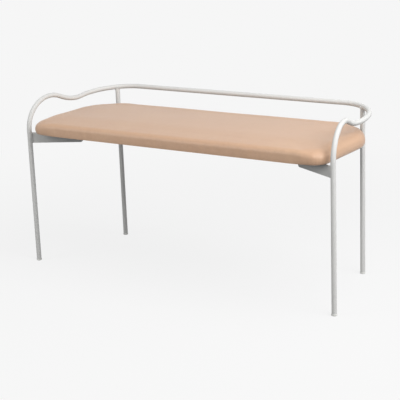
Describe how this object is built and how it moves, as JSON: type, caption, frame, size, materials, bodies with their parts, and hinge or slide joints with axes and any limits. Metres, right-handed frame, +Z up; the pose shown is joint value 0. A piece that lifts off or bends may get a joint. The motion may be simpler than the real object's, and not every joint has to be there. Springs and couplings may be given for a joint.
{
  "type": "luggage bench",
  "caption": "Hotel luggage bench: white coated bent-tube frame with raised arms and a back rail around a padded tan leather seat, carried on plate brackets.",
  "frame": {"origin": "on the floor, at the middle of the bench's length and depth", "axes": "+X along the bench's length towards its right end as seen from the front, +Y from the front edge towards the back rail, +Z up"},
  "size_m": [1.102, 0.416, 0.541],
  "materials": {
    "powder_coat": "satin white powder coat",
    "zinc_plate": "bright zinc plate",
    "nylon": "moulded nylon",
    "leather": "semi-aniline, fine grain",
    "foam": "open-cell polyether foam",
    "plywood": "sanded plywood",
    "cambric": "non-woven dust cloth"
  },
  "bodies": {
    "root": {"arm_tube_left": "powder_coat", "rail_sleeve_left": "zinc_plate", "rear_leg_left": "powder_coat", "arm_tube_right": "powder_coat", "rail_sleeve_right": "zinc_plate", "rear_leg_right": "powder_coat", "back_rail": "powder_coat", "foot_glide_front_left": "nylon", "seat_bracket_front_left": "powder_coat", "foot_glide_front_right": "nylon", "seat_bracket_front_right": "powder_coat", "foot_glide_rear_left": "nylon", "seat_bracket_rear_left": "powder_coat", "foot_glide_rear_right": "nylon", "seat_bracket_rear_right": "powder_coat", "seat_board": "plywood", "seat_foam": "foam", "seat_cover": "leather", "dust_cover": "cambric", "seat_screw_front_left_1": "zinc_plate", "washer_front_left_1": "zinc_plate", "tee_nut_front_left_1": "zinc_plate", "seat_screw_front_left_2": "zinc_plate", "washer_front_left_2": "zinc_plate", "tee_nut_front_left_2": "zinc_plate", "seat_screw_front_right_1": "zinc_plate", "washer_front_right_1": "zinc_plate", "tee_nut_front_right_1": "zinc_plate", "seat_screw_front_right_2": "zinc_plate", "washer_front_right_2": "zinc_plate", "tee_nut_front_right_2": "zinc_plate", "seat_screw_rear_left_1": "zinc_plate", "washer_rear_left_1": "zinc_plate", "tee_nut_rear_left_1": "zinc_plate", "seat_screw_rear_left_2": "zinc_plate", "washer_rear_left_2": "zinc_plate", "tee_nut_rear_left_2": "zinc_plate", "seat_screw_rear_right_1": "zinc_plate", "washer_rear_right_1": "zinc_plate", "tee_nut_rear_right_1": "zinc_plate", "seat_screw_rear_right_2": "zinc_plate", "washer_rear_right_2": "zinc_plate", "tee_nut_rear_right_2": "zinc_plate"}
  },
  "joints": []
}
